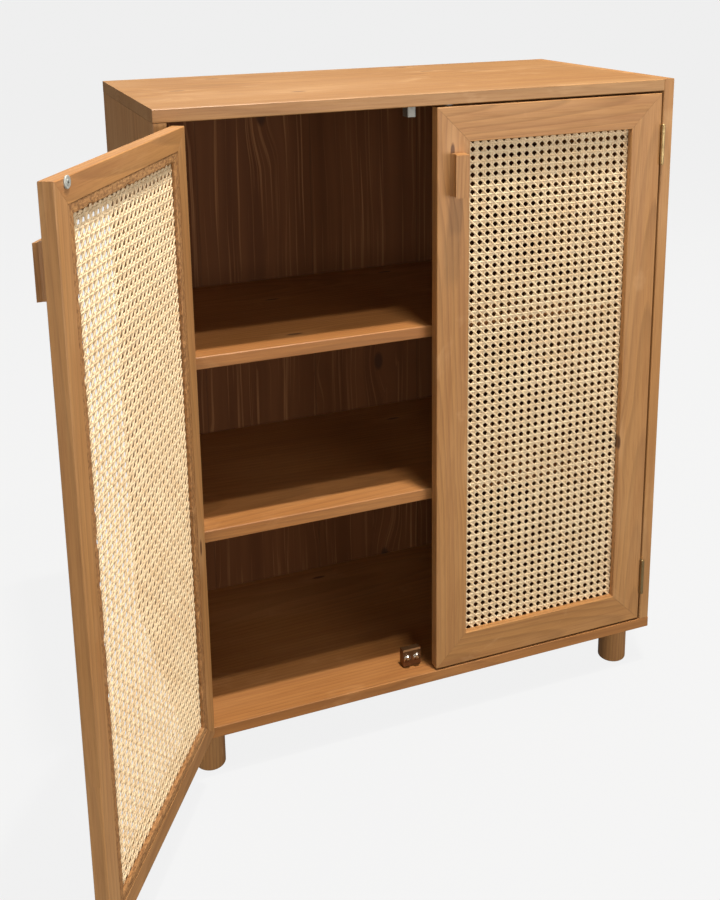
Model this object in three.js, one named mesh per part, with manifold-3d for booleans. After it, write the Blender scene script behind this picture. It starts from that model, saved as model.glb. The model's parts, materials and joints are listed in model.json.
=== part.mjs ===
// Shoe cabinet: a solid pine case on four round feet, two shelves, and two mitred doors filled
// with cane webbing. Millimetres, +Z up, the front faces -Y. The left door stands open, the
// right door is shut. The parts are drawn about the middle of the case, at floor level, and the
// whole is moved at the end to stand on the origin by the middle of its base.
import * as THREE from 'three';
import { mergeVertices } from 'three/addons/utils/BufferGeometryUtils.js';
import Module from 'manifold-3d';

const wasm = await Module();
wasm.setup();

// Case
const CASE_W = 800;
const CASE_D = 400;
const CASE_H = 935;
const BOARD = 18;
const GAP = 0.3;
const EASE = 1;
const BACK_T = 12;
const BACK_INSET = 18;
const PANEL_CLEAR = 0.6;

// Feet
const FOOT_H = 70;
const FOOT_R = 23;
const FOOT_INSET = 42;
const FOOT_ROUND = 3;

// Shelves and their pins
const SHELF_SETBACK = 26;
const SHELF_T = 18;
const UPPER_SHELF_TOP = 585;
const LOWER_SHELF_TOP = 321;
const PIN_R = 2.5;
const PIN_HOLE_DEPTH = 10;
const PIN_COLLAR_R = 4.5;
const PIN_COLLAR_T = 1.2;
const PIN_TONGUE_L = 9;
const PIN_INSET = 45;

// Doors
const DOOR_T = 18;
const DOOR_GAP = 3;
const FRAME_W = 52;
const REBATE_W = 24;
const REBATE_D = 8;
const CANE_T = 2;
const BEAD_W = 12;
const BEAD_T = 5.2;
const MITRE_GAP = 0.3;
const LEFT_OPEN_DEG = 122;

// Finger-pull blocks
const PULL_W = 22;
const PULL_H = 62;
const PULL_D = 20;
const PULL_FROM_FREE_EDGE = 20;
const PULL_FROM_TOP = 67;
const SCOOP_R = 12;

// Butt hinges
const HINGE_H = 60;
const HINGE_FROM_END = 49;
const LEAF_T = 1.2;
const LEAF_D = 15;
const KNUCKLE_R = 3;
const KNUCKLES = 5;
const KNUCKLE_GAP = 0.3;
const PIVOT_PROUD = 4;
const HINGE_PIN_R = 1.3;
const HINGE_BORE_R = 1.6;
const FINIAL_R = 2.4;
const FINIAL_H = 1.6;

// Catches
const CATCH_X = 29;
const MAGNET_W = 13;
const MAGNET_D = 18;
const MAGNET_H = 17;
const STRIKE_R = 7;
const STRIKE_T = 1.6;
const BALL_CATCH_W = 30;
const BALL_CATCH_D = 20;
const BALL_CATCH_H = 30;
const BALL_R = 6;
const BALL_SPACING = 16;
const TONGUE_W = 16;
const TONGUE_H = 20;
const TONGUE_T = 1.5;
const CATCH_BEHIND_DOOR = 2.2;

const ROUND_STEPS = 28;

// Derived levels
const CASE_BOTTOM = FOOT_H;
const CASE_TOP = FOOT_H + CASE_H;
const FRONT_Y = -CASE_D / 2;
const BACK_Y = CASE_D / 2;
const INNER_X = CASE_W / 2 - BOARD;
const INNER_BOTTOM = CASE_BOTTOM + BOARD;
const INNER_TOP = CASE_TOP - BOARD;
const BACK_PANEL_FRONT_Y = BACK_Y - BACK_INSET - BACK_T;
const DOOR_BOTTOM = INNER_BOTTOM + DOOR_GAP;
const DOOR_H = INNER_TOP - DOOR_GAP - DOOR_BOTTOM;
const DOOR_W = INNER_X - DOOR_GAP - DOOR_GAP / 2;
const DOOR_BACK_Y = FRONT_Y + DOOR_T;
const PIVOT_X = INNER_X - DOOR_GAP / 2;
const PIVOT_Y = FRONT_Y - PIVOT_PROUD;

const wood = (colour) => new THREE.MeshStandardMaterial({ color: colour, roughness: 0.5, metalness: 0 });
const caseWood = wood(0xb98349);
const doorWood = wood(0xb2804d);
const innerWood = wood(0x8a5a34);
const beadWood = wood(0xa87a48);
const footWood = wood(0xa8723d);
const cane = new THREE.MeshStandardMaterial({ color: 0xe0c9a0, roughness: 0.7, metalness: 0 });
const brass = new THREE.MeshStandardMaterial({ color: 0xb9924c, roughness: 0.3, metalness: 1 });
const steel = new THREE.MeshStandardMaterial({ color: 0xb8b8b4, roughness: 0.35, metalness: 1 });
const bronze = new THREE.MeshStandardMaterial({ color: 0x7a5a34, roughness: 0.4, metalness: 0.8 });

// A closed, welded copy of a geometry, without normals and texture coordinates.
function welded(geometry) {
  geometry.deleteAttribute('normal');
  geometry.deleteAttribute('uv');
  return mergeVertices(geometry, 1e-4);
}

function toSolid(geometry) {
  const clean = welded(geometry);
  return new wasm.Manifold(new wasm.Mesh({
    numProp: 3,
    vertProperties: new Float32Array(clean.attributes.position.array),
    triVerts: new Uint32Array(clean.index.array),
  }));
}

function toGeometry(solid) {
  const mesh = solid.getMesh();
  const geometry = new THREE.BufferGeometry();
  geometry.setAttribute('position', new THREE.BufferAttribute(new Float32Array(mesh.vertProperties), 3));
  geometry.setIndex(new THREE.BufferAttribute(new Uint32Array(mesh.triVerts), 1));
  return geometry;
}

function piece(name, geometry, material) {
  const mesh = new THREE.Mesh(geometry, material);
  geometry.computeVertexNormals();
  mesh.name = name;
  return mesh;
}

function shapeOf(points) {
  return new THREE.Shape(points.map(([x, y]) => new THREE.Vector2(x, y)));
}

// A prism of a flat outline, from z = 0 up.
function prism(points, height) {
  const settings = { depth: height, bevelEnabled: false, curveSegments: ROUND_STEPS };
  return new THREE.ExtrudeGeometry(shapeOf(points), settings);
}

// An outline rectangle with small chamfers on its four corners.
function easedRect(w, h, ease) {
  return [
    [ease, 0], [w - ease, 0], [w, ease], [w, h - ease],
    [w - ease, h], [ease, h], [0, h - ease], [0, ease],
  ];
}

// A board whose long edges are eased, given by its low corner, its size and the axis of its grain.
function board(low, size, axis, ease = EASE) {
  const [sx, sy, sz] = size;
  let geometry;
  if (axis === 'x') {
    geometry = prism(easedRect(sy, sz, ease), sx);
    geometry.applyMatrix4(new THREE.Matrix4().set(0, 0, 1, 0, 1, 0, 0, 0, 0, 1, 0, 0, 0, 0, 0, 1));
  } else if (axis === 'y') {
    geometry = prism(easedRect(sz, sx, ease), sy);
    geometry.applyMatrix4(new THREE.Matrix4().set(0, 1, 0, 0, 0, 0, 1, 0, 1, 0, 0, 0, 0, 0, 0, 1));
  } else {
    geometry = prism(easedRect(sx, sy, ease), sz);
  }
  geometry.translate(...low);
  return geometry;
}

// A plain block, given by its low and high corners.
function block(low, high) {
  const geometry = new THREE.BoxGeometry(high[0] - low[0], high[1] - low[1], high[2] - low[2]);
  geometry.translate((low[0] + high[0]) / 2, (low[1] + high[1]) / 2, (low[2] + high[2]) / 2);
  return geometry;
}

// A turned body about +Z from [radius, height] points that start and end on the axis.
function turned(points, steps = ROUND_STEPS) {
  const geometry = new THREE.LatheGeometry(points.map(([r, z]) => new THREE.Vector2(r, z)), steps);
  geometry.rotateX(Math.PI / 2);
  return geometry;
}

function rod(radius, length, steps = ROUND_STEPS) {
  return turned([[0, 0], [radius, 0], [radius, length], [0, length]], steps);
}

// ---- Case boards. Pinwheel joints: each board's end butts against its neighbour's face. ----
const caseGroup = new THREE.Group();
caseGroup.name = 'case';

const SIDE_X = CASE_W / 2;
const topPanel = piece('top_panel', board(
  [-SIDE_X, FRONT_Y, INNER_TOP],
  [CASE_W - BOARD - GAP, CASE_D, BOARD],
  'x',
), caseWood);
const bottomPanel = piece('bottom_panel', board(
  [-INNER_X + GAP, FRONT_Y, CASE_BOTTOM],
  [CASE_W - BOARD - GAP, CASE_D, BOARD],
  'x',
), caseWood);

const SHELVES = [
  { name: 'upper', top: CASE_BOTTOM + UPPER_SHELF_TOP },
  { name: 'lower', top: CASE_BOTTOM + LOWER_SHELF_TOP },
];
const SHELF_FRONT_Y = FRONT_Y + SHELF_SETBACK;
const SHELF_BACK_Y = BACK_PANEL_FRONT_Y - GAP;
const PIN_YS = [
  { name: 'front', y: SHELF_FRONT_Y + PIN_INSET },
  { name: 'back', y: SHELF_BACK_Y - PIN_INSET },
];
const pinLevel = (shelf) => shelf.top - SHELF_T - GAP - PIN_COLLAR_R;

function sidePanel(name, side, low, high) {
  const lowX = side < 0 ? -SIDE_X : INNER_X;
  let solid = toSolid(board([lowX, FRONT_Y, low], [BOARD, CASE_D, high - low], 'z'));
  for (const shelf of SHELVES) {
    for (const row of PIN_YS) {
      const hole = rod(PIN_R + GAP / 2, PIN_HOLE_DEPTH + 1);
      hole.rotateY(side * Math.PI / 2);
      hole.translate(side * (INNER_X - 1), row.y, pinLevel(shelf));
      solid = solid.subtract(toSolid(hole));
    }
  }
  return piece(name, toGeometry(solid), caseWood);
}

const leftSide = sidePanel('left_side_panel', -1, CASE_BOTTOM, INNER_TOP - GAP);
const rightSide = sidePanel('right_side_panel', 1, INNER_BOTTOM + GAP, CASE_TOP);
const backPanel = piece('back_panel', block(
  [-INNER_X + PANEL_CLEAR, BACK_PANEL_FRONT_Y, INNER_BOTTOM + PANEL_CLEAR],
  [INNER_X - PANEL_CLEAR, BACK_PANEL_FRONT_Y + BACK_T, INNER_TOP - PANEL_CLEAR],
), innerWood);
caseGroup.add(topPanel, bottomPanel, leftSide, rightSide, backPanel);

for (const shelf of SHELVES) {
  caseGroup.add(piece(`${shelf.name}_shelf`, board(
    [-INNER_X + PANEL_CLEAR, SHELF_FRONT_Y, shelf.top - SHELF_T],
    [2 * (INNER_X - PANEL_CLEAR), SHELF_BACK_Y - SHELF_FRONT_Y, SHELF_T],
    'x',
  ), caseWood));
  for (const [sideName, side] of [['left', -1], ['right', 1]]) {
    for (const row of PIN_YS) {
      const shaft = PIN_HOLE_DEPTH - 1;
      const pin = turned([
        [0, -shaft], [PIN_R, -shaft], [PIN_R, GAP], [PIN_COLLAR_R, GAP],
        [PIN_COLLAR_R, GAP + PIN_COLLAR_T], [PIN_R, GAP + PIN_COLLAR_T],
        [PIN_R, PIN_TONGUE_L], [0, PIN_TONGUE_L],
      ]);
      pin.rotateY(-side * Math.PI / 2);
      pin.translate(side * INNER_X, row.y, pinLevel(shelf));
      caseGroup.add(piece(`${shelf.name}_shelf_pin_${row.name}_${sideName}`, pin, steel));
    }
  }
}

// ---- Feet: round pegs with a rounded lower rim. ----
const FOOT_STEPS = 5;
for (const [sideName, side] of [['left', -1], ['right', 1]]) {
  for (const [rowName, row] of [['front', -1], ['back', 1]]) {
    const outline = [[0, 0], [FOOT_R - FOOT_ROUND, 0]];
    for (let i = 1; i <= FOOT_STEPS; i += 1) {
      const angle = (i / FOOT_STEPS) * Math.PI / 2;
      outline.push([
        FOOT_R - FOOT_ROUND + FOOT_ROUND * Math.sin(angle),
        FOOT_ROUND - FOOT_ROUND * Math.cos(angle),
      ]);
    }
    outline.push([FOOT_R, FOOT_H - GAP], [0, FOOT_H - GAP]);
    const foot = turned(outline, 40);
    foot.translate(side * (CASE_W / 2 - FOOT_INSET), row * (CASE_D / 2 - FOOT_INSET), 0);
    caseGroup.add(piece(`foot_${rowName}_${sideName}`, foot, footWood));
  }
}

// ---- Doors, drawn shut and facing -Y with the hinge edge on -X, about the pivot axis. ----
// mirror = 1 is the left door, mirror = -1 the right door.
const DOOR_X0 = DOOR_GAP / 2;
const DOOR_Y0 = PIVOT_PROUD;
const LIP_D = DOOR_T - REBATE_D;

// The L-shaped section of a frame member: u runs from the outer to the inner edge, v from the
// front to the back.
const memberSection = [
  [EASE, 0], [FRAME_W - EASE, 0], [FRAME_W, EASE], [FRAME_W, LIP_D],
  [FRAME_W - REBATE_W, LIP_D], [FRAME_W - REBATE_W, DOOR_T], [EASE, DOOR_T],
  [0, DOOR_T - EASE], [0, EASE],
];

// A length of a section whose two ends are cut at 45 degrees, shorter towards the inner edge.
function mitred(section, length, endGap) {
  const geometry = welded(prism(section, length));
  const position = geometry.attributes.position;
  for (let i = 0; i < position.count; i += 1) {
    const inward = position.getX(i) + endGap;
    const atEnd = position.getZ(i) > length / 2;
    position.setZ(i, atEnd ? length - inward : inward);
  }
  return geometry;
}

// Lays a member along one edge of a w by h rectangle in the X-Z plane, starting at (x0, z0).
function lay(geometry, edge, x0, z0, w, h, y) {
  const m = new THREE.Matrix4();
  if (edge === 'hinge') {
    m.set(1, 0, 0, x0, 0, 1, 0, y, 0, 0, 1, z0, 0, 0, 0, 1);
  } else if (edge === 'free') {
    m.set(-1, 0, 0, x0 + w, 0, 1, 0, y, 0, 0, 1, z0, 0, 0, 0, 1);
  } else if (edge === 'bottom') {
    m.set(0, 0, 1, x0, 0, 1, 0, y, 1, 0, 0, z0, 0, 0, 0, 1);
  } else {
    m.set(0, 0, 1, x0, 0, 1, 0, y, -1, 0, 0, z0 + h, 0, 0, 0, 1);
  }
  geometry.applyMatrix4(m);
  return geometry;
}

function flipFaces(geometry) {
  const index = geometry.index;
  for (let i = 0; i < index.count; i += 3) {
    const a = index.getX(i);
    index.setX(i, index.getX(i + 1));
    index.setX(i + 1, a);
  }
  return geometry;
}

// One half of a butt hinge, shut, about the pivot axis with z from 0: its plate lies in the gap
// on the +X side (door) or -X side (case); keep says which knuckles it carries.
function hingeLeaf(side, keep) {
  const pitch = HINGE_H / KNUCKLES;
  const plateNear = side * (GAP / 2 - 0.05);
  const plateFar = side * (LEAF_T + 0.1);
  const lowX = Math.min(plateNear, plateFar);
  const highX = Math.max(plateNear, plateFar);
  const back = PIVOT_PROUD + LEAF_D;
  const front = PIVOT_PROUD - KNUCKLE_R / 4;
  let solid = toSolid(block([lowX, front, 0], [highX, back, HINGE_H]));
  for (let i = 0; i < KNUCKLES; i += 1) {
    if (i % 2 !== keep) {
      continue;
    }
    const low = i * pitch + (i > 0 ? KNUCKLE_GAP / 2 : 0);
    const high = (i + 1) * pitch - (i < KNUCKLES - 1 ? KNUCKLE_GAP / 2 : 0);
    const barrel = rod(KNUCKLE_R, high - low);
    barrel.translate(0, 0, low);
    const arm = block([lowX, HINGE_BORE_R + 0.2, low], [highX, front + 1, high]);
    solid = solid.add(toSolid(barrel)).add(toSolid(arm));
  }
  const bore = rod(HINGE_BORE_R, HINGE_H + 2);
  bore.translate(0, 0, -1);
  return toGeometry(solid.subtract(toSolid(bore)));
}

function hingePin() {
  return turned([
    [0, -FINIAL_H], [FINIAL_R * 0.7, -FINIAL_H], [FINIAL_R, -FINIAL_H * 0.6], [FINIAL_R, -GAP / 2],
    [HINGE_PIN_R, -GAP / 2], [HINGE_PIN_R, HINGE_H + GAP / 2], [FINIAL_R, HINGE_H + GAP / 2],
    [FINIAL_R, HINGE_H + FINIAL_H * 0.6], [FINIAL_R * 0.7, HINGE_H + FINIAL_H], [0, HINGE_H + FINIAL_H],
  ], 20);
}

const HINGE_LOWS = [
  { name: 'upper', z: DOOR_BOTTOM + DOOR_H - HINGE_FROM_END - HINGE_H },
  { name: 'lower', z: DOOR_BOTTOM + HINGE_FROM_END },
];

// The finger pull: a block with a hollow along its outer side for the fingertips.
function pullBlock() {
  const points = [[0, 0], [0, -PULL_D + EASE], [EASE, -PULL_D], [PULL_W, -PULL_D]];
  const centreX = PULL_W + SCOOP_R * 0.62;
  const halfAngle = Math.acos((centreX - PULL_W) / SCOOP_R);
  const scoopSteps = 10;
  const centreY = -PULL_D / 2;
  for (let i = 1; i < scoopSteps; i += 1) {
    const angle = Math.PI + halfAngle * (1 - (2 * i) / scoopSteps) * 0.62;
    points.push([centreX + SCOOP_R * Math.cos(angle), centreY + SCOOP_R * Math.sin(angle)]);
  }
  points.push([PULL_W, 0]);
  return prism(points, PULL_H);
}

function door(sideName, mirror) {
  const group = new THREE.Group();
  group.name = `${sideName}_door`;
  const place = (name, geometry, material) => {
    let shaped = welded(geometry);
    if (mirror < 0) {
      shaped.scale(-1, 1, 1);
      shaped = flipFaces(shaped);
    }
    group.add(piece(`${sideName}_door_${name}`, shaped, material));
  };
  const members = [
    ['hinge', 'hinge_stile', DOOR_H],
    ['free', 'free_stile', DOOR_H],
    ['top', 'top_rail', DOOR_W],
    ['bottom', 'bottom_rail', DOOR_W],
  ];
  for (const [edge, name, length] of members) {
    const member = mitred(memberSection, length, MITRE_GAP / 2);
    const laid = lay(member, edge, DOOR_X0, DOOR_BOTTOM, DOOR_W, DOOR_H, DOOR_Y0);
    place(name, edge === 'free' || edge === 'bottom' ? flipFaces(laid) : laid, doorWood);
  }

  const inset = FRAME_W - REBATE_W + GAP;
  const rebateW = DOOR_W - 2 * inset;
  const rebateH = DOOR_H - 2 * inset;
  const caneY = DOOR_Y0 + LIP_D + GAP / 2;
  place('cane_panel', block(
    [DOOR_X0 + inset, caneY, DOOR_BOTTOM + inset],
    [DOOR_X0 + inset + rebateW, caneY + CANE_T, DOOR_BOTTOM + inset + rebateH],
  ), cane);

  const beadSection = [[0, 0], [BEAD_W, 0], [BEAD_W, BEAD_T - EASE], [BEAD_W - EASE, BEAD_T], [0, BEAD_T]];
  const beads = [
    ['hinge', 'cane_bead_hinge_side', rebateH],
    ['free', 'cane_bead_free_side', rebateH],
    ['top', 'cane_bead_top', rebateW],
    ['bottom', 'cane_bead_bottom', rebateW],
  ];
  for (const [edge, name, length] of beads) {
    const bead = mitred(beadSection, length, MITRE_GAP / 2);
    const beadY = caneY + CANE_T + GAP / 2;
    const laid = lay(bead, edge, DOOR_X0 + inset, DOOR_BOTTOM + inset, rebateW, rebateH, beadY);
    place(name, edge === 'free' || edge === 'bottom' ? flipFaces(laid) : laid, beadWood);
  }

  const pull = pullBlock();
  const pullX = DOOR_X0 + DOOR_W - PULL_FROM_FREE_EDGE - PULL_W;
  pull.translate(pullX, DOOR_Y0 - GAP, DOOR_BOTTOM + DOOR_H - PULL_FROM_TOP - PULL_H);
  place('finger_pull', pull, doorWood);

  const freeX = DOOR_X0 + DOOR_W;
  const strikeX = freeX + DOOR_GAP / 2 - CATCH_X;
  const doorBack = DOOR_Y0 + DOOR_T;
  const strike = turned([
    [0, 0], [STRIKE_R, 0], [STRIKE_R, STRIKE_T * 0.6], [STRIKE_R - 0.6, STRIKE_T], [0, STRIKE_T],
  ]);
  strike.rotateX(-Math.PI / 2);
  strike.translate(strikeX, doorBack + GAP / 2, INNER_TOP - MAGNET_H / 2);
  place('strike_disc', strike, steel);
  const tongueLow = INNER_BOTTOM + BALL_CATCH_H / 2 - TONGUE_H / 2 + DOOR_GAP;
  place('strike_plate', block(
    [strikeX - TONGUE_W / 2, doorBack + GAP / 2, tongueLow],
    [strikeX + TONGUE_W / 2, doorBack + GAP / 2 + TONGUE_T, tongueLow + TONGUE_H],
  ), bronze);

  for (const hinge of HINGE_LOWS) {
    const leaf = hingeLeaf(1, 1);
    leaf.translate(0, 0, hinge.z);
    place(`${hinge.name}_hinge_leaf`, leaf, brass);
  }
  group.position.set(-mirror * PIVOT_X, PIVOT_Y, 0);
  if (mirror > 0) {
    group.rotation.z = -LEFT_OPEN_DEG * Math.PI / 180;
  }

  for (const hinge of HINGE_LOWS) {
    const leaf = hingeLeaf(-1, 0);
    let shaped = welded(leaf);
    if (mirror < 0) {
      shaped.scale(-1, 1, 1);
      shaped = flipFaces(shaped);
    }
    shaped.translate(-mirror * PIVOT_X, PIVOT_Y, hinge.z);
    caseGroup.add(piece(`${sideName}_${hinge.name}_hinge_case_leaf`, shaped, brass));
    const pin = hingePin();
    pin.translate(-mirror * PIVOT_X, PIVOT_Y, hinge.z);
    caseGroup.add(piece(`${sideName}_${hinge.name}_hinge_pin`, pin, brass));
  }
  return group;
}

// ---- Catches on the case, behind the free corners of the doors. ----
for (const [sideName, side] of [['left', -1], ['right', 1]]) {
  const faceY = DOOR_BACK_Y + CATCH_BEHIND_DOOR;
  const magnetOutline = easedRect(MAGNET_W, MAGNET_D, EASE);
  const magnet = prism(magnetOutline, MAGNET_H - GAP);
  magnet.translate(side * CATCH_X - MAGNET_W / 2, faceY, INNER_TOP - MAGNET_H);
  caseGroup.add(piece(`${sideName}_magnetic_catch`, magnet, steel));

  const bodyLow = faceY + BALL_R;
  let body = toSolid(board(
    [side * CATCH_X - BALL_CATCH_W / 2, bodyLow, INNER_BOTTOM + GAP],
    [BALL_CATCH_W, BALL_CATCH_D - BALL_R, BALL_CATCH_H - GAP],
    'x',
    2,
  ));
  for (const offset of [-1, 1]) {
    const ballOutline = [];
    const ballSteps = 10;
    for (let i = 0; i <= ballSteps; i += 1) {
      const angle = (i / ballSteps) * Math.PI;
      ballOutline.push([i % ballSteps === 0 ? 0 : BALL_R * Math.sin(angle), -BALL_R * Math.cos(angle)]);
    }
    const ball = turned(ballOutline, 20);
    ball.translate(side * CATCH_X + offset * BALL_SPACING / 2, bodyLow + 0.5, INNER_BOTTOM + BALL_CATCH_H / 2);
    body = body.add(toSolid(ball));
  }
  caseGroup.add(piece(`${sideName}_ball_catch`, toGeometry(body), bronze));
}

// ---- The whole cabinet, moved so that the origin is the middle of its base as it stands. ----
const cabinet = new THREE.Group();
cabinet.add(caseGroup, door('left', 1), door('right', -1));
const middle = new THREE.Box3().setFromObject(cabinet, true).getCenter(new THREE.Vector3());
cabinet.position.set(-Math.round(middle.x), -Math.round(middle.y), 0);
const group = new THREE.Group();
group.name = 'shoe_cabinet';
group.add(cabinet);

export default group;
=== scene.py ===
"""Looks of the shoe cabinet: procedural wood, woven cane, metal fittings, light and camera."""
import json
import math
import random

import bmesh
import bpy
from mathutils import Matrix, Vector, noise


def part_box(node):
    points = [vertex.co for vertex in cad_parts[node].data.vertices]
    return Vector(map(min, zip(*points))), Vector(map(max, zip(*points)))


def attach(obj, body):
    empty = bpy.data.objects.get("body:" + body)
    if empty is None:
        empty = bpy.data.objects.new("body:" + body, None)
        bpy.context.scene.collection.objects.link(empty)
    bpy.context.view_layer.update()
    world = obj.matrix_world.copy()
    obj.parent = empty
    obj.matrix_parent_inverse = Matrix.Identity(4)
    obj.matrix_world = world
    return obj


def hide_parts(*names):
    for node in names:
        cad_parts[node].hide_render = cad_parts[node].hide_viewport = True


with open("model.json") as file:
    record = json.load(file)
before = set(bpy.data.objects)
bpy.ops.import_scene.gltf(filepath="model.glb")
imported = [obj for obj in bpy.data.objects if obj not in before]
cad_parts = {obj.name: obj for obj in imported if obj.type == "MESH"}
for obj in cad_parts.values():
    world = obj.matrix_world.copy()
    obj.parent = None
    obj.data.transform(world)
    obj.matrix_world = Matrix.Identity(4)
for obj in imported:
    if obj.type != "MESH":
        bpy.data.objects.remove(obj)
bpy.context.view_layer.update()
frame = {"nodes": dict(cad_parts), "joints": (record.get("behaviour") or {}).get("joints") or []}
NODES = frame["nodes"]
TOP_LOW, TOP_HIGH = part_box("top_panel")
HOME = Vector(((TOP_LOW.x + TOP_HIGH.x) / 2, (TOP_LOW.y + TOP_HIGH.y) / 2, 0))

# ---------------------------------------------------------------- camera, about the case's middle
SENSOR = 36.0
IMAGE_H = 900
FOCAL_PX = 1135.2
CAMERA_AT = Vector((-0.6662, -1.6434, 1.1874))
CAMERA_YAW = 0.3687
CAMERA_PITCH = -0.2337
CAMERA_ROLL = -0.0143
SHIFT_Y = -0.2444

cam_data = bpy.data.cameras.new("camera")
camera = bpy.data.objects.new("camera", cam_data)
bpy.context.scene.collection.objects.link(camera)
bpy.context.scene.camera = camera
cam_data.sensor_width = SENSOR
cam_data.lens = FOCAL_PX * SENSOR / IMAGE_H
cam_data.shift_y = SHIFT_Y
forward = Vector((
    math.sin(CAMERA_YAW) * math.cos(CAMERA_PITCH),
    math.cos(CAMERA_YAW) * math.cos(CAMERA_PITCH),
    math.sin(CAMERA_PITCH),
))
level_right = Vector((math.cos(CAMERA_YAW), -math.sin(CAMERA_YAW), 0))
level_up = level_right.cross(forward)
right = level_right * math.cos(CAMERA_ROLL) + level_up * math.sin(CAMERA_ROLL)
up = level_up * math.cos(CAMERA_ROLL) - level_right * math.sin(CAMERA_ROLL)
turn = Matrix((right, up, -forward)).transposed()
camera.matrix_world = Matrix.Translation(HOME + CAMERA_AT) @ turn.to_4x4()

# ---------------------------------------------------------------- light, about the case's middle
scene = bpy.context.scene
scene.view_settings.view_transform = "Standard"
BACKDROP = 0.882
AMBIENT = 0.08
WARM_WHITE = (1.0, 0.97, 0.92)
SOFT_WHITE = (1.0, 0.98, 0.95)


def area_light(name, at, target, size, power, colour):
    """A rectangular lamp that faces a target; places are about the case's middle."""
    data = bpy.data.lights.new(name, "AREA")
    data.shape = "RECTANGLE"
    data.size, data.size_y = size
    data.energy = power
    data.color = colour
    lamp = bpy.data.objects.new(name, data)
    scene.collection.objects.link(lamp)
    lamp.location = HOME + Vector(at)
    lamp.rotation_euler = (Vector(target) - Vector(at)).to_track_quat("-Z", "Y").to_euler()


area_light("overhead", (0.24, -0.74, 4.2), (0.0, -0.2, 0.5), (0.22, 0.06), 170, WARM_WHITE)
area_light("overhead_front", (0.11, -0.88, 2.7), (0.0, -0.2, 0.5), (0.3, 0.07), 18, WARM_WHITE)
area_light("right_front", (1.3, -3.1, 0.9), (0.0, 0.0, 0.55), (1.8, 1.2), 54, SOFT_WHITE)
area_light("left_front", (-1.5, -3.2, 0.9), (0.0, 0.0, 0.55), (1.6, 1.2), 30, SOFT_WHITE)
area_light("left_fill", (-3.4, -0.6, 1.4), (-0.3, 0.0, 0.5), (1.6, 1.8), 36, SOFT_WHITE)
area_light("right_back", (3.4, 0.8, 1.4), (0.3, 0.0, 0.5), (1.6, 1.8), 44, SOFT_WHITE)
area_light("rear_fill", (0.3, 2.6, 4.2), (0.0, 0.0, 0.5), (2.4, 2.0), 80, SOFT_WHITE)


# ---------------------------------------------------------------- shader helpers
class Graph:
    """A material's node tree, with short calls for the nodes this scene needs."""

    def __init__(self, name):
        self.material = bpy.data.materials.new(name)
        self.material.use_nodes = True
        self.tree = self.material.node_tree
        self.shader = self.tree.nodes["Principled BSDF"]

    def node(self, kind, **settings):
        made = self.tree.nodes.new(kind)
        for key, value in settings.items():
            setattr(made, key, value)
        return made

    def put(self, socket, value):
        if isinstance(value, bpy.types.NodeSocket):
            self.tree.links.new(value, socket)
        else:
            socket.default_value = value

    def math(self, operation, a, b=0.0, c=0.0, clamp=False):
        made = self.node("ShaderNodeMath", operation=operation, use_clamp=clamp)
        for socket, value in zip(made.inputs, (a, b, c)):
            self.put(socket, value)
        return made.outputs[0]

    def scaled(self, value, gain, offset=0.0):
        return self.math("MULTIPLY_ADD", value, gain, offset)

    def coords(self, centre=(0, 0, 0), turn_z=0.0):
        """Object coordinates turned about Z, measured from a centre."""
        source = self.node("ShaderNodeTexCoord").outputs["Object"]
        mapping = self.node("ShaderNodeMapping")
        self.put(mapping.inputs["Vector"], source)
        home = Matrix.Rotation(turn_z, 3, "Z") @ Vector(centre)
        mapping.inputs["Location"].default_value = -home
        mapping.inputs["Rotation"].default_value = (0, 0, turn_z)
        return mapping.outputs[0]

    def split(self, vector):
        made = self.node("ShaderNodeSeparateXYZ")
        self.put(made.inputs[0], vector)
        return made.outputs

    def join(self, x, y, z):
        made = self.node("ShaderNodeCombineXYZ")
        for socket, value in zip(made.inputs, (x, y, z)):
            self.put(socket, value)
        return made.outputs[0]

    def noise(self, vector, scale, detail=2.0, rough=0.5, distortion=0.0):
        made = self.node("ShaderNodeTexNoise")
        self.put(made.inputs["Vector"], vector)
        made.inputs["Scale"].default_value = scale
        made.inputs["Detail"].default_value = detail
        made.inputs["Roughness"].default_value = rough
        made.inputs["Distortion"].default_value = distortion
        return made.outputs["Fac"]

    def ramp(self, factor, stops, mode="LINEAR"):
        made = self.node("ShaderNodeValToRGB")
        made.color_ramp.interpolation = mode
        elements = made.color_ramp.elements
        while len(elements) < len(stops):
            elements.new(0.5)
        for element, (place, colour) in zip(elements, stops):
            element.position = place
            value = colour if hasattr(colour, "__len__") else (colour,) * 3
            element.color = (*value, 1)
        self.put(made.inputs[0], factor)
        return made.outputs["Color"]

    def mix(self, factor, a, b, blend="MIX"):
        made = self.node("ShaderNodeMix", data_type="RGBA", blend_type=blend)
        self.put(made.inputs[0], factor)
        for socket, value in ((made.inputs[6], a), (made.inputs[7], b)):
            self.put(socket, (*value, 1) if isinstance(value, tuple) else value)
        return made.outputs[2]

    def bump(self, height, strength, distance):
        made = self.node("ShaderNodeBump")
        made.inputs["Strength"].default_value = strength
        made.inputs["Distance"].default_value = distance
        self.put(made.inputs["Height"], height)
        self.put(self.shader.inputs["Normal"], made.outputs[0])


def tint(colour, gain):
    """A colour times one gain, or times one gain for each channel."""
    gains = gain if hasattr(gain, "__len__") else (gain,) * 3
    return tuple(channel * part for channel, part in zip(colour, gains))


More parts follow.
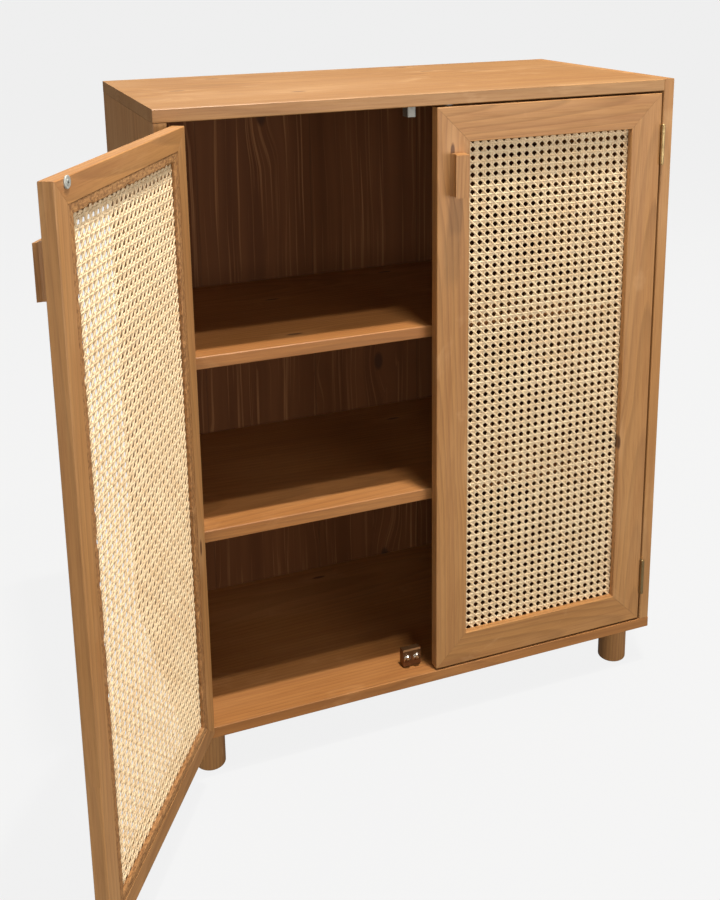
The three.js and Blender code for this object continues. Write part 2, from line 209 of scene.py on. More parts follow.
# ---------------------------------------------------------------- wood, cane and metal
# linear colours of the stained pine, its dark back boards and the cane
HONEY = (0.425, 0.205, 0.068)
PALE = (0.59, 0.335, 0.150)
LATE = (0.25, 0.105, 0.034)
KNOT = (0.085, 0.032, 0.012)
RED_BROWN = (0.30, 0.125, 0.044)
BACK_DARK = (0.085, 0.028, 0.008)
BACK_MID = (0.125, 0.045, 0.014)
BACK_LINE = (0.26, 0.115, 0.045)
BACK_KNOT = (0.045, 0.017, 0.007)
BACK_SEAM = (0.05, 0.02, 0.008)
CANE_PALE = (0.84, 0.66, 0.42)
CANE_TAN = (0.70, 0.48, 0.26)
CANE_BROWN = (0.38, 0.20, 0.08)
BRIGHT_STEEL = (0.80, 0.77, 0.72)

# metres of one knot cell across and along the grain, on the pine and on the back boards
KNOT_CELL = (0.085, 0.30)
BACK_KNOT_CELL = (0.11, 0.22)
BACK_KNOT_SHARE = 0.62
KNOT_SCATTER = 0.95

# the pine's grain: how far knots and sway push it, and the noise scales of its layers
KNOT_PUSH = 0.011
SWAY = 0.036
TAPER = 0.045
RING_UNIT = 0.314
STRETCH = 0.03
FIBRE_SCALE = 620.0
STREAK_SCALE = 85.0
CLOUD_SCALE = 7.0
FEATHER_SCALE = 15.0
TORN_SCALE = 330.0
GRAIN_DEPTH = 0.0003
BOARD_WIDTH = 0.198
FIRST_BOARD = 0.46
TARNISH_SCALE = 90.0
SCRATCH_SCALE = 900.0


def knot_cells(g, across, length, seed, cell_size, share):
    """Sparse knots: the distance to the nearest, and 1 where that knot is really there."""
    width, pitch = cell_size
    cell = g.node("ShaderNodeTexVoronoi", voronoi_dimensions="2D", feature="F1")
    sideways = g.math("MULTIPLY_ADD", across, 1 / width, seed * 7.31)
    lengthways = g.math("MULTIPLY_ADD", length, 1 / pitch, seed * 3.17)
    g.put(cell.inputs["Vector"], g.join(sideways, lengthways, 0.0))
    cell.inputs["Scale"].default_value = 1.0
    cell.inputs["Randomness"].default_value = KNOT_SCATTER
    channels = g.node("ShaderNodeSeparateColor")
    g.put(channels.inputs[0], cell.outputs["Color"])
    return cell.outputs["Distance"], g.math("LESS_THAN", channels.outputs[0], share)


def wood(name, node, along, seed, tone=1.0, turn_z=0.0, ring=0.0068, knots=0.45, rough=0.44,
         heart=(0.03, 0.05), ragged=0.0):
    """Stained pine, its grain along 'x' or 'z' of the turned node, cut at a distance from the heart."""
    g = Graph(name)
    low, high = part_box(node)
    x, y, z = g.split(g.coords((low + high) / 2, turn_z))
    if node.endswith(("top_panel", "bottom_panel", "shelf")):
        across, through, length = y, z, x
    elif node.endswith("side_panel"):
        across, through, length = y, x, z
    elif along == "x":
        across, through, length = z, y, x
    else:
        across, through, length = x, y, z
    near, there = knot_cells(g, across, length, seed, KNOT_CELL, knots)
    bend = g.math("MULTIPLY", g.ramp(near, [(0.0, 1.0), (0.4, 0.0)], "EASE"), there)
    knot = g.math("MULTIPLY", g.ramp(near, [(0.0, 1.0), (0.030, 1.0), (0.048, 0.0)]), there)
    halo = g.math("MULTIPLY", g.ramp(near, [(0.045, 1.0), (0.20, 0.0)], "EASE"), there)
    # growth rings: a cone about the heart, so that they run out into long arches
    slow = g.join(g.scaled(across, 2.0, seed), through, g.scaled(length, 0.8, seed * 1.7))
    sway = g.noise(slow, 1.9, 2.0, 0.45)
    wander = g.math("MULTIPLY_ADD", sway, SWAY, -SWAY / 2)
    pushed = g.math("MULTIPLY_ADD", bend, KNOT_PUSH, across)
    radial_a = g.math("ADD", g.math("SUBTRACT", pushed, heart[0]), wander)
    coned = g.math("MULTIPLY_ADD", length, TAPER, heart[1])
    radial_b = g.math("ADD", coned, g.math("ADD", through, wander))
    wave = g.node("ShaderNodeTexWave", wave_type="RINGS", rings_direction="Z", wave_profile="SAW")
    g.put(wave.inputs["Vector"], g.join(radial_a, radial_b, 0.0))
    wave.inputs["Scale"].default_value = RING_UNIT / ring
    wave.inputs["Distortion"].default_value = 0.7
    wave.inputs["Detail"].default_value = 2.0
    wave.inputs["Detail Scale"].default_value = 0.6
    grown = wave.outputs["Fac"]
    grain_at = g.join(g.scaled(pushed, 1.0, seed * 0.37), through, g.math("MULTIPLY", length, STRETCH))
    fibre = g.noise(grain_at, FIBRE_SCALE, 3.0, 0.65)
    streak = g.noise(grain_at, STREAK_SCALE, 3.0, 0.6)
    cloud_at = g.join(g.scaled(across, 1.0, seed * 2.9), through, g.math("MULTIPLY", length, 0.30))
    cloud = g.noise(cloud_at, CLOUD_SCALE, 3.0, 0.55, 0.3)
    feather_at = g.join(g.scaled(across, 1.0, seed * 5.1), through, g.math("MULTIPLY", length, 0.55))
    feather = g.noise(feather_at, FEATHER_SCALE, 4.0, 0.62, 0.8)
    # early wood, late wood, and the layers that break it up
    season = [(0.0, tint(HONEY, 1.06)), (0.55, tint(HONEY, 0.98)), (0.88, tint(HONEY, 0.80)), (1.0, HONEY)]
    base = g.ramp(grown, season)
    streaked = g.mix(g.ramp(streak, [(0.42, 0.0), (0.74, 0.58)]), base, RED_BROWN)
    lit = g.mix(g.ramp(cloud, [(0.44, 0.0), (0.68, 0.38)]), streaked, PALE)
    feathered = g.mix(g.ramp(feather, [(0.60, 0.0), (0.72, 0.46)]), lit, PALE)
    fibres = g.mix(g.ramp(fibre, [(0.46, 0.0), (0.80, 0.55)]), feathered, LATE)
    haloed = g.mix(g.math("MULTIPLY", halo, 0.38), fibres, PALE)
    knotted = g.mix(g.math("MULTIPLY", knot, 0.85), haloed, KNOT)
    if ragged:
        torn_at = g.join(g.scaled(across, 1.0, seed), through, g.math("MULTIPLY", length, 0.5))
        torn = g.noise(torn_at, TORN_SCALE, 3.0, 0.7)
        knotted = g.mix(g.ramp(torn, [(0.44, 0.0), (0.60, ragged)]), knotted, tint(LATE, 0.6))
    toned = g.mix(1.0, knotted, tint((1, 1, 1), tone), "MULTIPLY")
    g.put(g.shader.inputs["Base Color"], toned)
    shine = g.math("MULTIPLY_ADD", fibre, 0.22, rough - 0.11)
    g.put(g.shader.inputs["Roughness"], g.math("MULTIPLY_ADD", grown, 0.05, shine))
    g.shader.inputs["Specular IOR Level"].default_value = 0.28
    g.shader.inputs["Coat Weight"].default_value = 0.04
    g.shader.inputs["Coat Roughness"].default_value = 0.40
    relief = g.math("MULTIPLY_ADD", grown, -0.35, fibre)
    g.bump(relief, 0.30, GRAIN_DEPTH)
    return g.material


def back_boards(name, node):
    """Dark knotty boards laid upright, with fine pale grain lines and knots that push the grain aside."""
    g = Graph(name)
    low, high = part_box(node)
    x, y, z = g.split(g.coords((low + high) / 2))
    lane = g.math("DIVIDE", g.math("ADD", x, FIRST_BOARD), BOARD_WIDTH)
    number = g.math("FLOOR", lane)
    inside = g.math("FRACT", lane)
    own = g.math("MULTIPLY_ADD", number, 3.77, x)
    length = g.math("MULTIPLY_ADD", number, 1.91, z)
    near, there = knot_cells(g, own, length, 1.0, BACK_KNOT_CELL, BACK_KNOT_SHARE)
    bend = g.math("MULTIPLY", g.ramp(near, [(0.0, 1.0), (0.45, 0.0)], "EASE"), there)
    knot = g.math("MULTIPLY", g.ramp(near, [(0.0, 1.0), (0.055, 1.0), (0.09, 0.0)]), there)
    wander_at = g.join(g.math("MULTIPLY", own, 3.0), y, g.math("MULTIPLY", length, 1.2))
    wander = g.noise(wander_at, 1.6, 2.0, 0.5)
    shifted = g.math("ADD", g.math("MULTIPLY_ADD", bend, 0.018, own), g.math("MULTIPLY", wander, 0.03))
    fine = g.noise(g.join(shifted, y, g.math("MULTIPLY", length, 0.010)), 190.0, 3.0, 0.6)
    broad = g.noise(g.join(shifted, y, g.math("MULTIPLY", length, 0.03)), 30.0, 2.0, 0.5)
    tone = g.noise(g.join(number, 0.5, 0.5), 7.3, 0.0)
    ground = g.mix(g.ramp(broad, [(0.36, 0.0), (0.66, 1.0)]), BACK_DARK, BACK_MID)
    lines = g.mix(g.ramp(fine, [(0.55, 0.0), (0.68, 0.85)]), ground, BACK_LINE)
    toned = g.mix(g.math("MULTIPLY", tone, 0.42), lines, BACK_DARK)
    knotted = g.mix(g.math("MULTIPLY", knot, 0.9), toned, BACK_KNOT)
    edge = g.math("MINIMUM", inside, g.math("SUBTRACT", 1.0, inside))
    seam = g.ramp(edge, [(0.0, 1.0), (0.004, 1.0), (0.008, 0.0)])
    g.put(g.shader.inputs["Base Color"], g.mix(g.math("MULTIPLY", seam, 0.35), knotted, BACK_SEAM))
    g.shader.inputs["Specular IOR Level"].default_value = 0.10
    g.put(g.shader.inputs["Roughness"], g.math("MULTIPLY_ADD", fine, 0.2, 0.56))
    g.bump(g.math("SUBTRACT", fine, seam), 0.4, 0.0004)
    return g.material


def cane_material(name, along, turn_z=0.0):
    """Split rattan: glossy cream skin with lengthwise fibres, darker nodes and stains."""
    g = Graph(name)
    x, y, z = g.split(g.coords((0, 0, 0), turn_z))
    far, near = (z, x) if along == "z" else (x, z)
    if along == "diagonal":
        far, near = g.math("ADD", x, z), g.math("SUBTRACT", x, z)
    at = g.join(near, y, g.math("MULTIPLY", far, 0.05))
    fibre = g.noise(at, 1400.0, 3.0, 0.6)
    patch = g.noise(g.join(x, y, z), 20.0, 3.0, 0.55)
    strand = g.noise(g.join(near, y, g.math("MULTIPLY", far, 0.01)), 260.0, 0.0)
    node_marks = g.noise(g.join(g.math("MULTIPLY", near, 3.0), y, far), 75.0, 2.0, 0.5)
    skin = g.mix(g.ramp(strand, [(0.38, 0.0), (0.72, 0.8)]), CANE_PALE, CANE_TAN)
    patched = g.mix(g.ramp(patch, [(0.47, 0.0), (0.75, 0.35)]), skin, tint(CANE_TAN, 0.9))
    lined = g.mix(g.ramp(fibre, [(0.5, 0.0), (0.85, 0.4)]), patched, tint(CANE_TAN, 0.75))
    marked = g.mix(g.ramp(node_marks, [(0.66, 0.0), (0.74, 0.5)]), lined, CANE_BROWN)
    g.put(g.shader.inputs["Base Color"], marked)
    g.put(g.shader.inputs["Roughness"], g.math("MULTIPLY_ADD", fibre, 0.25, 0.36))
    g.bump(fibre, 0.4, 0.0002)
    return g.material


def metal(name, colour, rough, wear=(0.6, 0.6, 0.6), metallic=1.0, balls=()):
    """Plated metal with tarnish patches and fine scratches; near each ball's centre it is bright steel."""
    g = Graph(name)
    at = g.coords()
    tarnish = g.noise(at, TARNISH_SCALE, 4.0, 0.6)
    x, y, z = g.split(at)
    scratch_at = g.join(g.math("MULTIPLY", x, 9.0), y, g.math("MULTIPLY", z, 0.7))
    scratch = g.noise(scratch_at, SCRATCH_SCALE, 2.0, 0.6)
    worn = g.mix(g.ramp(tarnish, [(0.4, 0.0), (0.7, 0.75)]), colour, tint(colour, wear))
    skin = g.mix(g.ramp(scratch, [(0.55, 0.0), (0.8, 0.4)]), worn, tint(colour, 1.15))
    shine = g.math("MULTIPLY_ADD", tarnish, 0.22, rough - 0.08)
    for centre, radius in balls:
        apart = g.node("ShaderNodeVectorMath", operation="DISTANCE")
        g.put(apart.inputs[0], at)
        apart.inputs[1].default_value = centre
        on_ball = g.math("LESS_THAN", apart.outputs["Value"], radius)
        skin = g.mix(on_ball, skin, BRIGHT_STEEL)
        shine = g.math("MULTIPLY_ADD", on_ball, -0.24, shine, clamp=True)
    g.put(g.shader.inputs["Base Color"], skin)
    g.shader.inputs["Metallic"].default_value = metallic
    g.put(g.shader.inputs["Roughness"], shine)
    g.bump(g.math("MULTIPLY_ADD", scratch, 0.5, tarnish), 0.25, 0.0001)
    return g.material


def paint(node, material, bevel=0.0):
    """Gives a CAD node its material, and a fine bevel that catches the light on its edges."""
    made = NODES[node]
    made.data.materials.clear()
    made.data.materials.append(material)
    if bevel:
        rounder = made.modifiers.new("edge", "BEVEL")
        rounder.width = bevel
        rounder.segments = 2
        rounder.limit_method = "ANGLE"
        rounder.angle_limit = math.radians(32)


# ---------------------------------------------------------------- backdrop, seen but hardly lighting
world = bpy.data.worlds.new("studio")
scene.world = world
world.use_nodes = True
sky = world.node_tree
paths = sky.nodes.new("ShaderNodeLightPath")
strength = sky.nodes.new("ShaderNodeMapRange")
sky.links.new(paths.outputs["Is Camera Ray"], strength.inputs["Value"])
strength.inputs["To Min"].default_value = AMBIENT
strength.inputs["To Max"].default_value = BACKDROP
sky.links.new(strength.outputs["Result"], sky.nodes["Background"].inputs["Strength"])

# ---------------------------------------------------------------- where the doors are
JOINTS = {joint["name"]: joint for joint in frame["joints"]}
SIDES = ("left", "right")
PIVOTS = {side: Vector(JOINTS[f"{side}_door_hinge"]["pos_m"]) for side in SIDES}
# how far each door stands open at rest; the left one is shut at the top of its range
TURNS = {"left": -math.radians(max(JOINTS["left_door_hinge"]["range_deg"])), "right": 0.0}
MIRROR = {"left": 1.0, "right": -1.0}


def door_matrix(side):
    """Takes a point of the shut left-hand door, measured from its pivot line, to the row frame."""
    pivot = PIVOTS[side]
    place = Matrix.Translation((pivot.x, pivot.y, 0))
    return place @ Matrix.Rotation(TURNS[side], 4, "Z") @ Matrix.Diagonal((MIRROR[side], 1, 1, 1))


def door_box(part):
    """A door part's box in the shut left-hand door's frame, from the shut right-hand door."""
    low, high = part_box(f"right_door_{part}")
    pivot = PIVOTS["right"]
    near = Vector((pivot.x - high.x, low.y - pivot.y, low.z))
    far = Vector((pivot.x - low.x, high.y - pivot.y, high.z))
    return near, far


# ---------------------------------------------------------------- case and doors: wood
BEVEL = 0.0009
PULL_BEVEL = 0.0012
TOP_TONE = (0.86, 0.88, 0.90)
SHELF_TONE = (0.82, 0.70, 0.58)
# node, material, grain, seed, tone, share of knots, heart
CASE_BOARDS = (
    ("top_panel", "pine_top", "x", 1.0, TOP_TONE, 0.45, (0.06, 0.07)),
    ("bottom_panel", "pine_bottom", "x", 2.0, SHELF_TONE, 0.25, (0.1, 0.09)),
    ("left_side_panel", "pine_left_side", "z", 3.0, 1.0, 0.45, (-0.05, 0.06)),
    ("right_side_panel", "pine_right_side", "z", 4.0, 1.0, 0.45, (0.04, 0.05)),
    ("upper_shelf", "pine_upper_shelf", "x", 5.0, SHELF_TONE, 0.2, (0.12, 0.1)),
    ("lower_shelf", "pine_lower_shelf", "x", 6.0, SHELF_TONE, 0.2, (-0.1, 0.1)),
)
for node, name, along, seed, tone, knots, heart in CASE_BOARDS:
    paint(node, wood(name, node, along, seed, tone, knots=knots, heart=heart), BEVEL)
paint("back_panel", back_boards("pine_back", "back_panel"))
# part, grain, tone, heart
DOOR_PARTS = (
    ("hinge_stile", "z", 1.00, (0.02, 0.05)), ("free_stile", "z", 0.98, (-0.04, 0.04)),
    ("top_rail", "x", 1.02, (0.03, 0.045)), ("bottom_rail", "x", 0.98, (-0.02, 0.05)),
)
for number, side in enumerate(SIDES):
    turned = -TURNS[side]
    for place, (part, along, tone, heart) in enumerate(DOOR_PARTS):
        node = f"{side}_door_{part}"
        seed = 7.0 + 5 * number + place
        paint(node, wood(f"pine_{side}_{part}", node, along, seed, tone, turned, heart=heart), BEVEL)
    node = f"{side}_door_finger_pull"
    grain = wood(f"pine_{side}_pull", node, "z", 17.0 + number, 0.97, turned, ring=0.004, knots=0.0)
    paint(node, grain, PULL_BEVEL)
for row in ("front", "back"):
    for side in SIDES:
        node = f"foot_{row}_{side}"
        paint(node, wood(f"pine_{node}", node, "z", 20.0, 0.86, ring=0.005, knots=0.1, heart=(0.02, 0.02)))

# ---------------------------------------------------------------- metal fittings
BRONZE_COLOUR = (0.20, 0.10, 0.045)
BRONZE_WEAR = (0.5, 0.45, 0.4)
BRASS = metal("aged_brass", (0.50, 0.36, 0.17), 0.44, (0.6, 0.55, 0.5))
ZINC = metal("zinc", (0.50, 0.51, 0.47), 0.55, (0.7, 0.7, 0.7), metallic=0.7)
CATCH_GREY = metal("catch_grey", (0.20, 0.195, 0.175), 0.5, (0.6, 0.6, 0.6), metallic=0.6)
DARK_RECESS = metal("recess_shadow", (0.05, 0.045, 0.04), 0.6, metallic=0.6)
BRONZE = metal("antique_bronze", BRONZE_COLOUR, 0.44, BRONZE_WEAR, metallic=0.8)
BALL_R = 0.006
BALL_SPACING = 0.016
BALL_INSET = 0.0005
for side in SIDES:
    for level in ("upper", "lower"):
        paint(f"{side}_door_{level}_hinge_leaf", BRASS, 0.00015)
        paint(f"{side}_{level}_hinge_case_leaf", BRASS, 0.00015)
        paint(f"{side}_{level}_hinge_pin", BRASS)
        for row in ("front", "back"):
            paint(f"{level}_shelf_pin_{row}_{side}", ZINC)
    paint(f"{side}_magnetic_catch", CATCH_GREY, 0.0006)
    low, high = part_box(f"{side}_ball_catch")
    middle = (low + high) / 2
    balls = [
        ((middle.x + way * BALL_SPACING / 2, low.y + BALL_R + BALL_INSET, middle.z), BALL_R * 1.03)
        for way in (-1, 1)
    ]
    body = metal(f"{side}_catch_bronze", BRONZE_COLOUR, 0.44, BRONZE_WEAR, balls=balls)
    paint(f"{side}_ball_catch", body)
    paint(f"{side}_door_strike_disc", ZINC, 0.0002)
    paint(f"{side}_door_strike_plate", BRONZE, 0.0003)


# ---------------------------------------------------------------- mesh helpers
def mesh_piece(name, verts, faces, materials, matrix, body, smooth=True, slots=None, slot="cane"):
    """A mesh riding on a body; verts are in the frame that matrix takes to the row frame."""
    mesh = bpy.data.meshes.new(name)
    mesh.from_pydata([tuple(matrix @ v) for v in verts], [], faces)
    for material in materials:
        mesh.materials.append(material)
    if slots:
        mesh.polygons.foreach_set("material_index", slots)
    mesh.polygons.foreach_set("use_smooth", [smooth] * len(mesh.polygons))
    tidy = bmesh.new()
    tidy.from_mesh(mesh)
    bmesh.ops.recalc_face_normals(tidy, faces=tidy.faces)
    tidy.to_mesh(mesh)
    tidy.free()
    mesh.update()
    made = bpy.data.objects.new(name, mesh)
    scene.collection.objects.link(made)
    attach(made, body)
    return made


def tube_faces(faces, base, rings, count):
    """Skins rings of count points, and caps both ends."""
    for step in range(rings - 1):
        low = base + step * count
        for k in range(count):
            nxt = (k + 1) % count
            faces.append((low + k, low + nxt, low + count + nxt, low + count + k))
    faces.append(tuple(base + k for k in reversed(range(count))))
    faces.append(tuple(base + (rings - 1) * count + k for k in range(count)))


# ---------------------------------------------------------------- woven cane
CANE_PITCH = 0.0127
STRAND_W = 0.0025
STRAND_T = 0.0011
PAIR_OFF = 0.00140
DIAGONAL_W = 0.0026
WEAVE_AMP = 0.00030
LAYER = 0.00072
SHOULDER = 0.62


def ribbon(verts, faces, line, across, width, thick):
    """Adds a flat strand with rounded shoulders along a line of points."""
    base = len(verts)
    normal = Vector((0, 1, 0))
    half, rise = width / 2, thick / 2
    section = (
        (-half, 0.0), (-half * SHOULDER, -rise), (half * SHOULDER, -rise),
        (half, 0.0), (half * SHOULDER, rise), (-half * SHOULDER, rise),
    )
    for point in line:
        for side, depth in section:
            verts.append(point + across * side + normal * depth)
    tube_faces(faces, base, len(line), len(section))


def weave(side):
    """The door's cane panel as four sets of strands: uprights, crossings and two diagonals."""
    (x0, y0, z0), (x1, y1, z1) = door_box("cane_panel")
    y_mid = (y0 + y1) / 2
    columns = int((x1 - x0) / CANE_PITCH)
    rows = int((z1 - z0) / CANE_PITCH)
    left = x0 + ((x1 - x0) - columns * CANE_PITCH) / 2
    base = z0 + ((z1 - z0) - rows * CANE_PITCH) / 2
    half = CANE_PITCH / 2
    matrix = door_matrix(side)
    turned = -TURNS[side]
    body = f"{side}_door"

    def strands(label, along, build):
        verts, faces = [], []
        build(verts, faces)
        material = cane_material(f"cane_{side}_{label}", along, turned)
        return mesh_piece(f"{side}_cane_{label}", verts, faces, [material], matrix, body)

    def uprights(verts, faces):
        steps = int((z1 - z0) / half)
        for column in range(columns + 1):
            for strand in (-1, 1):
                x = left + column * CANE_PITCH + strand * PAIR_OFF
                if not x0 + STRAND_W < x < x1 - STRAND_W:
                    continue
                line = []
                for i in range(steps + 1):
                    z = z0 + (z1 - z0) * i / steps
                    over = WEAVE_AMP * strand * math.cos(math.pi * (z - base) / half)
                    line.append(Vector((x, y_mid + over, z)))
                ribbon(verts, faces, line, Vector((1, 0, 0)), STRAND_W, STRAND_T)

    def crossings(verts, faces):
        steps = int((x1 - x0) / half)
        for row in range(rows + 1):
            for strand in (-1, 1):
                z = base + row * CANE_PITCH + strand * PAIR_OFF
                if not z0 + STRAND_W < z < z1 - STRAND_W:
                    continue
                line = []
                for i in range(steps + 1):
                    x = x0 + (x1 - x0) * i / steps
                    over = strand * (LAYER * 0.6 + WEAVE_AMP * math.cos(math.pi * (x - left) / half))
                    line.append(Vector((x, y_mid - over, z)))
                ribbon(verts, faces, line, Vector((0, 0, 1)), STRAND_W, STRAND_T)

    def diagonals(slope):
        def build(verts, faces):
            across = Vector((1, 0, -slope)).normalized()
            start = -rows - 1 if slope > 0 else 0
            for number in range(start, start + columns + rows + 2):
                line = []
                for i in range(2 * (rows + 1) + 1):
                    z = base + (i - 1) * half
                    x = left + half + slope * (z - base) + number * CANE_PITCH
                    if x0 <= x <= x1 and z0 <= z <= z1:
                        lift = -slope * LAYER * (1.0 + 0.35 * math.cos(math.pi * len(line)))
                        line.append(Vector((x, y_mid + lift, z)))
                if len(line) >= 3:
                    ribbon(verts, faces, line, across, DIAGONAL_W, STRAND_T)
        return build

    made = strands("uprights", "z", uprights)
    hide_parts(f"{side}_door_cane_panel")
    strands("crossings", "x", crossings)
    strands("rising_diagonals", "diagonal", diagonals(1))
    strands("falling_diagonals", "diagonal", diagonals(-1))


# ---------------------------------------------------------------- rough beads that hold the cane
BEAD_STEP = 0.0028
CHIP = 0.0017
SPLINTER_STEP = 0.0045
SPLINTER_SECTION = ((-1, -1), (1, -1), (0, 1.2))
random.seed(41)


def bead_frame(part):
    """The bead's outer corner, its direction, its inward direction, and its length, width and thickness."""
    low, high = door_box(part)
    size = high - low
    thick = size.y
    if part.endswith("side"):
        inward = 1 if "hinge" in part else -1
        corner = Vector((low.x if inward > 0 else high.x, low.y, low.z))
        return corner, Vector((0, 0, 1)), Vector((inward, 0, 0)), size.z, size.x, thick
    inward = 1 if part.endswith("bottom") else -1
    corner = Vector((low.x, low.y, low.z if inward > 0 else high.z))
    return corner, Vector((1, 0, 0)), Vector((0, 0, inward)), size.x, size.z, thick


def rough_bead(side, part, material):
    """A rough sawn bead with chipped inner edges and torn fibres, mitred at both ends."""
    corner, along, inward, length, width, thick = bead_frame(part)
    back = Vector((0, 1, 0))
    section = (
        (0.0, 0.0), (width - 0.0003, 0.0), (width, 0.0012), (width, thick * 0.72),
        (width - 0.0012, thick - 0.0002), (width * 0.66, thick), (width * 0.33, thick),
        (0.0006, thick), (0.0, thick * 0.8),
    )
    verts, faces = [], []
    rings = int(length / BEAD_STEP)
    for ring in range(rings + 1):
        for w, n in section:
            t = w + (length - 2 * w) * ring / rings
            point = corner + along * t + inward * w + back * n
            if w > width * 0.3:
                torn = noise.noise(point * 240) * 0.00022 + noise.noise(point * 900) * 0.00012
                chip = max(0.0, noise.noise(point * 70 + Vector((5, 1, 3))) - 0.18) * CHIP * 2.2
                at_edge = 1.0 if w > width * 0.8 else 0.15
                point -= inward * (chip * at_edge + abs(torn)) if n > 0 else Vector()
                point -= back * (abs(torn) + chip * 0.35 * at_edge) if n > thick * 0.5 else Vector()
            verts.append(point)
    tube_faces(faces, 0, rings + 1, len(section))
    for _ in range(int(length / SPLINTER_STEP)):
        start = random.uniform(0.016, length - 0.026)
        reach = random.uniform(0.003, 0.010)
        depth = random.uniform(0.0004, thick * 0.85)
        lean = random.uniform(-0.0002, 0.0011)
        girth = random.uniform(0.00016, 0.00042)
        base = len(verts)
        for t, w in ((0.0, -0.0004), (0.55, lean * 0.5), (1.0, lean)):
            middle = corner + along * (start + reach * t) + inward * (width + w) + back * depth
            fat = girth * (1.0 - 0.75 * t)
            verts.extend(middle + inward * fat * a + back * fat * b for a, b in SPLINTER_SECTION)
        tube_faces(faces, base, 3, 3)
    made = mesh_piece(
        f"{side}_rough_{part}", verts, faces, [material], door_matrix(side), f"{side}_door", False,
        slot="bead_wood")
    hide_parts(f"{side}_door_{part}")


BEADS = ("cane_bead_hinge_side", "cane_bead_free_side", "cane_bead_top", "cane_bead_bottom")
for number, side in enumerate(SIDES):
    weave(side)
    for place, part in enumerate(BEADS):
        along = "z" if part.endswith("side") else "x"
        node = f"{side}_door_{part}"
        seed = 30.0 + 4 * number + place
        material = wood(f"pine_{side}_{part}", node, along, seed, 1.0, -TURNS[side],
                        ring=0.003, knots=0.1, rough=0.66, ragged=0.7)
        rough_bead(side, part, material)


# ---------------------------------------------------------------- screws
def screw_head(verts, faces, slots, centre, axis, radius, height, recess, spin):
    """A countersunk head with a cross recess, standing on its base plane; the recess gets material 1."""
    axis = axis.normalized()
    side = axis.orthogonal().normalized()
    other = axis.cross(side)
    segments = 24
    arm, wide = radius * 0.62, radius * 0.15
    shape = bmesh.new()
    outer, mid, rim = [], [], []
    for k in range(segments):
        angle = 2 * math.pi * k / segments
        c, s = math.cos(angle), math.sin(angle)
        outer.append(shape.verts.new((radius * c, radius * s, 0)))
        mid.append(shape.verts.new((radius * 0.96 * c, radius * 0.96 * s, height * 0.6)))
        rim.append(shape.verts.new((radius * 0.80 * c, radius * 0.80 * s, height)))
    for ring_a, ring_b in ((outer, mid), (mid, rim)):
        for k in range(segments):
            nxt = (k + 1) % segments
            shape.faces.new((ring_a[k], ring_a[nxt], ring_b[nxt], ring_b[k]))
    shape.faces.new(list(reversed(outer)))
    cross = [
        (arm, -wide), (arm, wide), (wide, wide), (wide, arm), (-wide, arm), (-wide, wide),
        (-arm, wide), (-arm, -wide), (-wide, -wide), (-wide, -arm), (wide, -arm), (wide, -wide),
    ]
    lip = [shape.verts.new((x, y, height)) for x, y in cross]
    deep = [shape.verts.new((x * 0.85, y * 0.85, height - recess)) for x, y in cross]
    edges = []
    for loop in (rim, lip):
        for k, vert in enumerate(loop):
            nxt = loop[(k + 1) % len(loop)]
            edges.append(shape.edges.get((vert, nxt)) or shape.edges.new((vert, nxt)))
    bmesh.ops.triangle_fill(shape, use_beauty=True, edges=edges, normal=(0, 0, 1))
    inner = [f for f in shape.faces if all(v in lip for v in f.verts)]
    bmesh.ops.delete(shape, geom=inner, context="FACES_ONLY")
    dark = []
    for k in range(len(cross)):
        nxt = (k + 1) % len(cross)
        dark.append(shape.faces.new((lip[nxt], lip[k], deep[k], deep[nxt])))
    dark.append(shape.faces.new(deep))
    shape.verts.index_update()
    base = len(verts)
    c, s = math.cos(spin), math.sin(spin)
    for v in shape.verts:
        x, y, z = v.co
        verts.append(centre + side * (x * c - y * s) + other * (x * s + y * c) + axis * z)
    for f in shape.faces:
        faces.append(tuple(base + v.index for v in f.verts))
        slots.append(1 if f in dark else 0)
    shape.free()


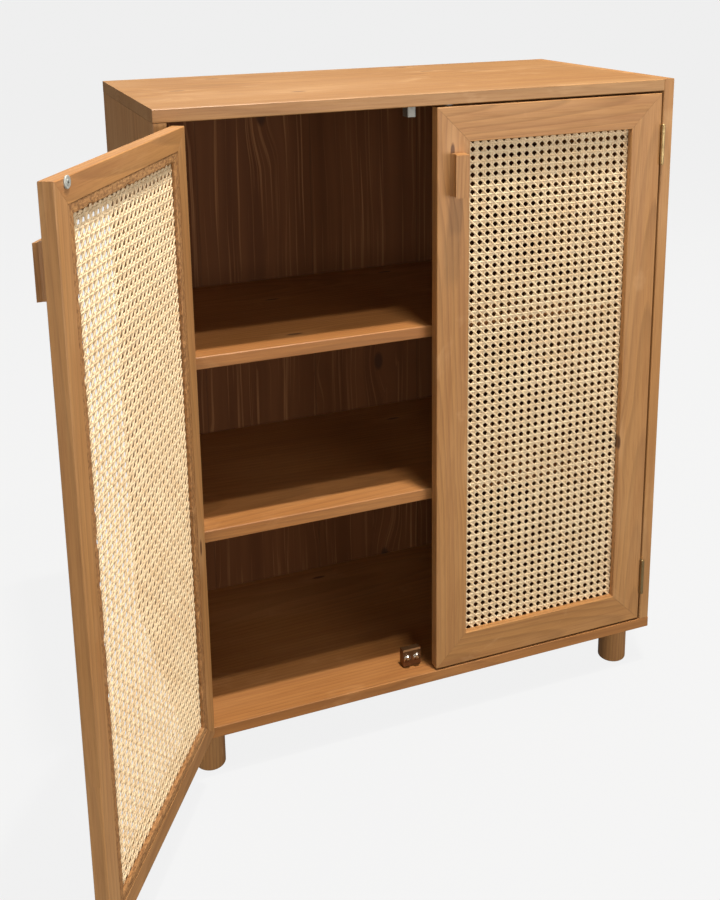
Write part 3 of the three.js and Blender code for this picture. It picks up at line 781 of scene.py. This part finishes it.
# each screw's radius, height and depth of its recess
DISC_SCREW = (0.0034, 0.00032, 0.00028)
PLATE_SCREW = (0.0026, 0.0005, 0.0004)
LEAF_SCREW = (0.0030, 0.00006, 0.00004)
PLATE_SCREWS_AT = (0.22, 0.78)
LEAF_SCREWS_UP = (0.012, 0.048)
LEAF_FACE = 0.0001
BACKWARD = Vector((0, 1, 0))
for side in SIDES:
    matrix = door_matrix(side)
    body = f"{side}_door"
    low, high = door_box("strike_disc")
    disc = (low + high) / 2
    verts, faces, slots = [], [], []
    spot = Vector((disc.x, high.y, disc.z))
    screw_head(verts, faces, slots, spot, BACKWARD, *DISC_SCREW, 0.5)
    mesh_piece(
        f"{side}_strike_screw", verts, faces, [ZINC, DARK_RECESS], matrix, body, False, slots, "zinc")
    low, high = door_box("strike_plate")
    verts, faces, slots = [], [], []
    for reach in PLATE_SCREWS_AT:
        spot = Vector((low.x + (high.x - low.x) * reach, high.y, (low.z + high.z) / 2))
        screw_head(verts, faces, slots, spot, BACKWARD, *PLATE_SCREW, reach)
    mesh_piece(
        f"{side}_plate_screws", verts, faces, [BRONZE, DARK_RECESS], matrix, body, False, slots, "bronze")
    door_screws, case_screws = ([], [], []), ([], [], [])
    for level in ("upper", "lower"):
        low, high = door_box(f"{level}_hinge_leaf")
        deep = low.y + (high.y - low.y) * 0.72
        for up_by in LEAF_SCREWS_UP:
            spot = Vector((LEAF_FACE, deep, low.z + up_by))
            screw_head(*door_screws, spot, Vector((-1, 0, 0)), *LEAF_SCREW, up_by * 40)
            spot = Vector((-LEAF_FACE, deep, low.z + up_by))
            screw_head(*case_screws, spot, Vector((1, 0, 0)), *LEAF_SCREW, up_by * 70)
    mesh_piece(
        f"{side}_hinge_door_screws", *door_screws[:2], [BRASS, DARK_RECESS], matrix, body, False,
        door_screws[2], "brass")
    pivot = PIVOTS[side]
    shut = Matrix.Translation((pivot.x, pivot.y, 0)) @ Matrix.Diagonal((MIRROR[side], 1, 1, 1))
    mesh_piece(
        f"{side}_hinge_case_screws", *case_screws[:2], [BRASS, DARK_RECESS], shut, "case", False,
        case_screws[2], "brass")

# ---------------------------------------------------------------- floor
FLOOR_REACH = 60.0
FLOOR_GREY = (0.03, 0.03, 0.03, 1)
FLOOR_GLOW = 0.10
FLOOR_GLOW_SEEN = 0.862
floor_mesh = bpy.data.meshes.new("floor")
corners = [(a * FLOOR_REACH, b * FLOOR_REACH, 0) for a, b in ((-1, -1), (1, -1), (1, 1), (-1, 1))]
floor_mesh.from_pydata(corners, [], [(0, 1, 2, 3)])
floor = bpy.data.objects.new("floor", floor_mesh)
scene.collection.objects.link(floor)
g = Graph("pale_floor")
g.shader.inputs["Base Color"].default_value = FLOOR_GREY
g.shader.inputs["Roughness"].default_value = 1.0
g.shader.inputs["Specular IOR Level"].default_value = 0.0
g.shader.inputs["Emission Color"].default_value = (1, 1, 1, 1)
glow = g.node("ShaderNodeMapRange")
g.put(glow.inputs["Value"], g.node("ShaderNodeLightPath").outputs["Is Camera Ray"])
glow.inputs["To Min"].default_value = FLOOR_GLOW
glow.inputs["To Max"].default_value = FLOOR_GLOW_SEEN
g.put(g.shader.inputs["Emission Strength"], glow.outputs["Result"])
floor_mesh.materials.append(g.material)
